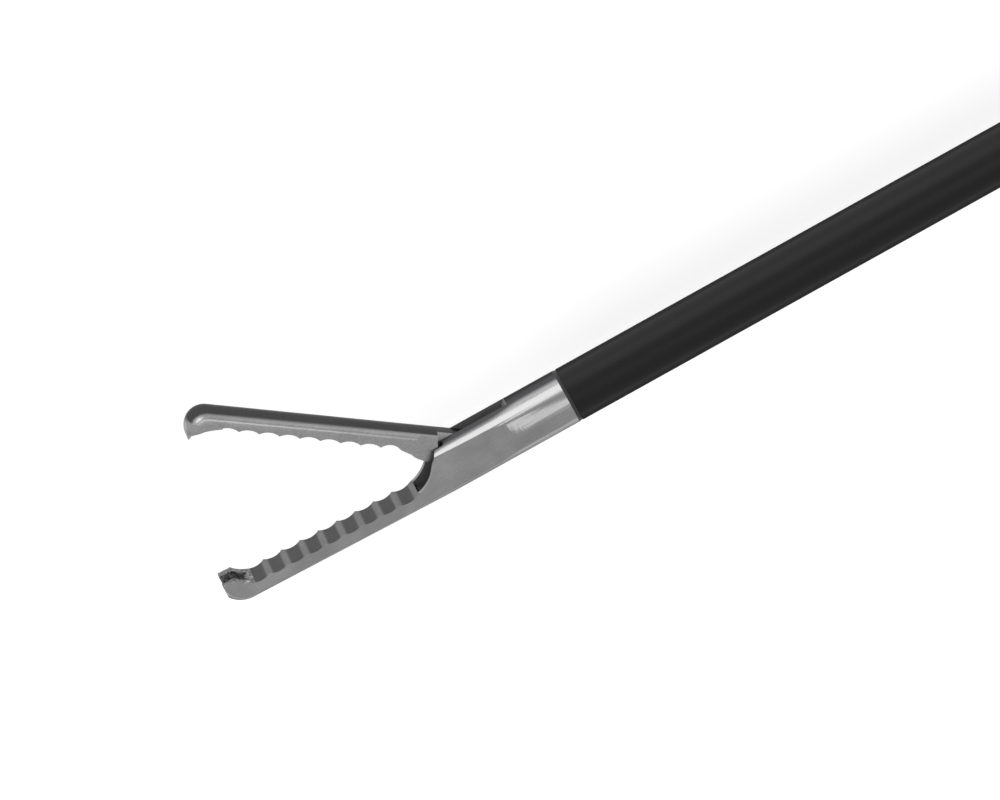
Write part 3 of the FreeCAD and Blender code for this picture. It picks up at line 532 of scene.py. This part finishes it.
def take_place(piece, node):
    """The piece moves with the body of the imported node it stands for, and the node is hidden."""
    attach(piece, body_of(node))
    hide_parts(node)


def clean_copy(node):
    """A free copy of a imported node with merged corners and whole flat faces."""
    only(frame["nodes"][node])
    bpy.ops.object.duplicate()
    piece = bpy.context.view_layer.objects.active
    piece.name = node + "_finish"
    piece.parent = None
    for key in list(piece.keys()):
        if key.startswith("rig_"):
            del piece[key]
    only(piece)
    bpy.ops.object.mode_set(mode="EDIT")
    bpy.ops.mesh.select_all(action="SELECT")
    bpy.ops.mesh.customdata_custom_splitnormals_clear()
    bpy.ops.mesh.remove_doubles(threshold=merge_gap)
    bpy.ops.mesh.dissolve_limited(angle_limit=flat_angle)
    bpy.ops.object.mode_set(mode="OBJECT")
    return piece


def finished(node, main, edge=0.0, paint=(), sharp=28.0, weighted=True, flat_sides=False):
    """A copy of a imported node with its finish, broken edges and smooth faces.

    `paint` gives other finishes to the faces that pass a test. `weighted` lets large faces stay flat up
    to their edges, and `flat_sides` keeps the ground sides flat round their bores.
    """
    piece = clean_copy(node)
    mesh = piece.data
    mesh.materials.clear()
    finishes = list(dict.fromkeys([main] + [finish for finish, test in paint]))
    for finish in finishes:
        mesh.materials.append(materials[finish])
    for polygon in mesh.polygons:
        polygon.material_index = 0
        for finish, test in paint:
            if test(polygon.center / mm, polygon.normal):
                polygon.material_index = finishes.index(finish)
                break
    if edge:
        apply_modifier(piece, "BEVEL", width=edge, segments=edge_steps, limit_method="ANGLE",
                       angle_limit=math.radians(sharp))
    only(piece)
    bpy.ops.object.shade_smooth_by_angle(angle=math.radians(sharp + smooth_margin))
    if flat_sides:
        for polygon in piece.data.polygons:
            if abs(polygon.normal.z) > square_on:
                polygon.use_smooth = False
    if weighted:
        apply_modifier(piece, "WEIGHTED_NORMAL", keep_sharp=True)
    take_place(piece, node)


def cut_ends(piece, wall, bored):
    """Insets both flat ends by the wall, and joins the rings' inner rims where the piece is bored."""
    ends = [polygon.index for polygon in piece.data.polygons if abs(polygon.normal.x) > square_on]
    bpy.ops.object.mode_set(mode="EDIT")
    bpy.ops.mesh.select_all(action="DESELECT")
    bpy.ops.object.mode_set(mode="OBJECT")
    for index in ends:
        piece.data.polygons[index].select = True
    bpy.ops.object.mode_set(mode="EDIT")
    bpy.ops.mesh.select_mode(type="FACE")
    bpy.ops.mesh.inset(thickness=wall, use_individual=True)
    if bored:
        bpy.ops.mesh.bridge_edge_loops()
    bpy.ops.object.mode_set(mode="OBJECT")


def tube(node, outer, inner, start, end, finish):
    """A smooth tube along the shaft's axis, or a rod where it has no bore, in the place of a node."""
    bpy.ops.object.select_all(action="DESELECT")
    bpy.ops.mesh.primitive_cylinder_add(
        vertices=sizes().round_steps, radius=outer, depth=end - start, location=((start + end) / 2, 0, 0),
        rotation=(0, math.pi / 2, 0),
    )
    piece = bpy.context.view_layer.objects.active
    piece.name = node + "_finish"
    settle(piece)
    cut_ends(piece, outer - inner, bored=inner > 0)
    piece.data.materials.append(materials[finish])
    apply_modifier(piece, "BEVEL", width=sizes().small_edge, segments=edge_steps, limit_method="ANGLE",
                   angle_limit=tube_sharp)
    only(piece)
    bpy.ops.object.shade_smooth_by_angle(angle=tube_smooth)
    take_place(piece, node)


# Where the clevis and the fixed jaw change their finish and their painted shade, light and glints, in
# millimetres: back from the insulation's end, out from the shaft's axis, or along the grip
joint_length = 0.34
slot_rear = 4.55
slot_reach = 2.35
slot_half = 1.35
side_from_axis = 1.5
grip_margin = 0.3
prong_length = 1.4
notch_half = 1.0

# How squarely a face looks along the jaw's opening way to be grip, and sideways to be a ground side
grip_facing = 0.3
side_facing = 0.9
tip_sharp = 35.0


class GRASPER_OT_tip(bpy.types.Operator):
    """Finishes the clevis with the fixed jaw, the moving jaw and their pin"""

    bl_idname = "grasper.tip"
    bl_label = "Jaws and Clevis"

    def execute(self, context):
        edge = sizes().tip_edge
        rear = tip_high.x / mm
        grip_end = (tip_high.x - sizes().grip_start) / mm + grip_margin
        prong_start = grip_end - sizes().grip_length / mm - prong_length

        def joint(centre, normal):
            return centre.x > rear - joint_length

        def prong(centre, normal):
            return centre.x < prong_start and (normal.y > grip_facing or abs(centre.z) < notch_half)

        def grip(centre, normal):
            return normal.y > grip_facing and centre.x < grip_end

        def slot(centre, normal):
            inside = math.hypot(centre.y, centre.z) < slot_reach and abs(centre.z) < slot_half
            return inside and centre.x < rear - slot_rear

        def side(centre, normal):
            return abs(normal.z) > side_facing and abs(centre.z) > side_from_axis

        # The prongs take painted glints, and the grip and the slot take painted shade; the joint is dark
        # sealing compound
        paint = [
            ("seal_rubber", joint),
            ("prong_steel", prong),
            ("grip_steel", grip),
            ("slot_steel", slot),
            ("clevis_steel", side),
        ]
        finished("fixed_jaw_clevis", "ferrule_steel", edge, paint, tip_sharp, flat_sides=True)
        finished("moving_jaw", "jaw_steel", edge, sharp=tip_sharp, weighted=False)
        finished("jaw_pivot_pin", "clevis_steel")
        return {"FINISHED"}


class GRASPER_OT_drive(bpy.types.Operator):
    """Finishes the rod that pulls the jaw shut"""

    bl_idname = "grasper.drive"
    bl_label = "Drive Rod"

    def execute(self, context):
        finished("rod_fork", "polished_steel", sizes().fine_edge)
        finished("drive_pin", "polished_steel", sizes().fine_edge)
        finished("rod_ball_end", "polished_steel", sizes().small_edge)
        low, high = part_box("drive_rod")
        tube("drive_rod", high.z, 0, low.x, high.x, "polished_steel")
        return {"FINISHED"}


class GRASPER_OT_shaft(bpy.types.Operator):
    """Models the insulation and the tube under it as smooth long pieces"""

    bl_idname = "grasper.shaft"
    bl_label = "Insulated Shaft"

    def execute(self, context):
        low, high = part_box("outer_tube")
        tube("insulation_sleeve", sleeve_high.z, high.z, sleeve_low.x, sleeve_high.x, "insulation")
        tube("outer_tube", high.z, high.z - sizes().tube_wall, low.x, high.x, "polished_steel")
        return {"FINISHED"}


class GRASPER_OT_collar(bpy.types.Operator):
    """Finishes the collar with the cleaning port, its cap and its seals"""

    bl_idname = "grasper.collar"
    bl_label = "Cleaning Port"

    def execute(self, context):
        finished("flush_hub", "polished_steel", sizes().metal_edge)
        finished("flush_port_cap", "cap_silicone", sizes().metal_edge)
        finished("hub_o_rings", "seal_rubber")
        return {"FINISHED"}


class GRASPER_OT_knob(bpy.types.Operator):
    """Finishes the knob with its screws, collar, friction ring and rear seal"""

    bl_idname = "grasper.knob"
    bl_label = "Rotation Knob"

    def execute(self, context):
        finished("rotation_knob", "knob_black", sizes().moulded_edge)
        finished("knob_grub_screws", "polished_steel", sizes().small_edge)
        finished("shaft_collar", "polished_steel", sizes().metal_edge)
        finished("friction_ring", "seal_rubber")
        finished("seal_cap", "polished_steel", sizes().metal_edge)
        finished("rod_seal", "seal_rubber")
        return {"FINISHED"}


class GRASPER_OT_handle(bpy.types.Operator):
    """Finishes the two handle shells and their screws"""

    bl_idname = "grasper.handle"
    bl_label = "Ring Handle"

    def execute(self, context):
        for node in ("handle_shell_left", "handle_shell_right"):
            finished(node, "moulded_black", sizes().moulded_edge)
        finished("shell_screws", "polished_steel", sizes().screw_edge)
        return {"FINISHED"}


class GRASPER_OT_lever(bpy.types.Operator):
    """Finishes the thumb lever, the ball's seat, the bush and the pin"""

    bl_idname = "grasper.lever"
    bl_label = "Thumb Lever"

    def execute(self, context):
        finished("thumb_lever", "moulded_black", sizes().moulded_edge)
        finished("ball_seat", "polished_steel", sizes().metal_edge)
        finished("lever_bush", "bush_bronze", sizes().screw_edge)
        finished("lever_pivot_pin", "polished_steel", sizes().pin_edge)
        return {"FINISHED"}


class GRASPER_OT_connector(bpy.types.Operator):
    """Finishes the cable pin, its insulating collar and the contact leaf"""

    bl_idname = "grasper.connector"
    bl_label = "Cable Pin"

    def execute(self, context):
        finished("connector_pin", "plating", sizes().small_edge)
        finished("connector_collar", "collar_plastic", sizes().moulded_edge)
        finished("contact_spring", "plating", sizes().fine_edge)
        return {"FINISHED"}


# Studio

floor_size = 40
camera_clip = (0.01, 100)


def area_light(name, target, direction, distance, width, height, level):
    """A softbox that looks at the target. The level is what it would show in a mirror."""
    data = bpy.data.lights.new(name, "AREA")
    data.shape = "RECTANGLE"
    data.size, data.size_y = width, height
    data.energy = level * math.pi * width * height
    lamp = bpy.data.objects.new(name, data)
    bpy.context.scene.collection.objects.link(lamp)
    heading = Vector(direction).normalized()
    lamp.location = target + heading * distance
    lamp.rotation_euler = heading.to_track_quat("Z", "Y").to_euler()
    lamp.visible_camera = False


def pale_material():
    """The floor: its own colour under the lamps, lifted to white where it is seen or mirrored."""
    material = bpy.data.materials.new("pale_floor")
    material.use_nodes = True
    tree = material.node_tree
    path = tree.nodes.new("ShaderNodeLightPath").outputs
    seen = math_node(tree, "MAXIMUM", path["Is Camera Ray"], path["Is Glossy Ray"])
    seen_through = math_node(tree, "MAXIMUM", seen, path["Is Transmission Ray"])
    feed(tree, tree.nodes["Principled BSDF"], {
        "Base Color": (*colours().floor, 1),
        "Roughness": 0.9,
        "Specular IOR Level": 0.1,
        "Emission Color": (1, 1, 1, 1),
        "Emission Strength": math_node(tree, "MULTIPLY", seen_through, studio().floor_lift),
    })
    return material


def add_floor():
    bpy.ops.object.select_all(action="DESELECT")
    bpy.ops.mesh.primitive_plane_add(size=floor_size, location=(0, 0, cad_box[0].z))
    floor = bpy.context.view_layer.objects.active
    floor.name = "floor"
    floor.data.materials.append(pale_material())


def add_lights(tip):
    world = bpy.data.worlds.new("room")
    bpy.context.scene.world = world
    world.use_nodes = True
    background = world.node_tree.nodes["Background"]
    background.inputs["Color"].default_value = (1, 1, 1, 1)
    background.inputs["Strength"].default_value = studio().world_level

    low, high = cad_box
    middle = Vector(((low.x + high.x) / 2, (low.y + high.y) / 2, 0))
    area_light("opening_side_softbox", tip, direction=(-0.2, 1.0, 0.42), distance=0.7,
               width=0.5, height=0.44, level=1.5)
    area_light("top_softbox", middle, direction=(0.0, 0.07, 1.0), distance=1.1,
               width=1.2, height=0.52, level=0.9)
    area_light("far_softbox", middle, direction=(0.9, -0.9, 0.6), distance=1.3,
               width=0.6, height=0.5, level=1.2)


def add_camera(tip):
    """Looks square to the shaft, with the insulation's end where the picture has it."""
    s = studio()
    heading, lean = s.shaft_heading, s.camera_lean
    along = Vector((1, 0, 0))
    across = Vector((0, math.cos(lean), -math.sin(lean)))
    towards = Vector((0, math.sin(lean), math.cos(lean)))
    right = math.cos(heading) * along - math.sin(heading) * across
    up = math.sin(heading) * along + math.cos(heading) * across
    pixel = mm / s.pixels_per_mm
    aim = tip + right * (s.photo_width / 2 - s.sleeve_end_x) * pixel
    aim = aim + up * (s.sleeve_end_y - s.photo_height / 2) * pixel
    data = bpy.data.cameras.new("camera")
    data.lens = s.lens
    data.clip_start, data.clip_end = camera_clip
    distance = s.photo_width * pixel * s.lens / data.sensor_width
    camera = bpy.data.objects.new("camera", data)
    bpy.context.scene.collection.objects.link(camera)
    turned = Matrix((right, up, towards)).transposed().to_4x4()
    camera.matrix_world = Matrix.Translation(aim + towards * distance) @ turned
    bpy.context.scene.camera = camera


class GRASPER_OT_stage(bpy.types.Operator):
    """Adds the floor, the soft lights and the camera"""

    bl_idname = "grasper.stage"
    bl_label = "Studio"

    def execute(self, context):
        tip = Vector((sleeve_low.x, 0, 0))
        add_floor()
        add_lights(tip)
        add_camera(tip)
        context.scene.view_settings.view_transform = "Standard"
        return {"FINISHED"}


class GRASPER_PT_panel(bpy.types.Panel):
    bl_label = "Laparoscopic Grasper"
    bl_idname = "GRASPER_PT_panel"
    bl_space_type = "VIEW_3D"
    bl_region_type = "UI"
    bl_category = "Grasper"

    def draw(self, context):
        scene = context.scene
        for settings in (scene.grasper_sizes, scene.grasper_colours, scene.grasper_studio):
            box = self.layout.box()
            for name in settings.__annotations__:
                box.prop(settings, name)
        for operator in OPERATORS:
            self.layout.operator(operator.bl_idname)


OPERATORS = (
    GRASPER_OT_tip,
    GRASPER_OT_drive,
    GRASPER_OT_shaft,
    GRASPER_OT_collar,
    GRASPER_OT_knob,
    GRASPER_OT_handle,
    GRASPER_OT_lever,
    GRASPER_OT_connector,
    GRASPER_OT_stage,
)
SETTINGS = (GrasperSizes, GrasperColours, GrasperStudio)


def register():
    for cls in SETTINGS + OPERATORS + (GRASPER_PT_panel,):
        bpy.utils.register_class(cls)
    bpy.types.Scene.grasper_sizes = bpy.props.PointerProperty(type=GrasperSizes)
    bpy.types.Scene.grasper_colours = bpy.props.PointerProperty(type=GrasperColours)
    bpy.types.Scene.grasper_studio = bpy.props.PointerProperty(type=GrasperStudio)


def unregister():
    del bpy.types.Scene.grasper_sizes, bpy.types.Scene.grasper_colours, bpy.types.Scene.grasper_studio
    for cls in reversed(SETTINGS + OPERATORS + (GRASPER_PT_panel,)):
        bpy.utils.unregister_class(cls)


def main():
    register()
    make_materials()
    bpy.ops.grasper.tip()
    bpy.ops.grasper.drive()
    bpy.ops.grasper.shaft()
    bpy.ops.grasper.collar()
    bpy.ops.grasper.knob()
    bpy.ops.grasper.handle()
    bpy.ops.grasper.lever()
    bpy.ops.grasper.connector()
    bpy.ops.grasper.stage()
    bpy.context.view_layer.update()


if __name__ == "__main__":
    main()
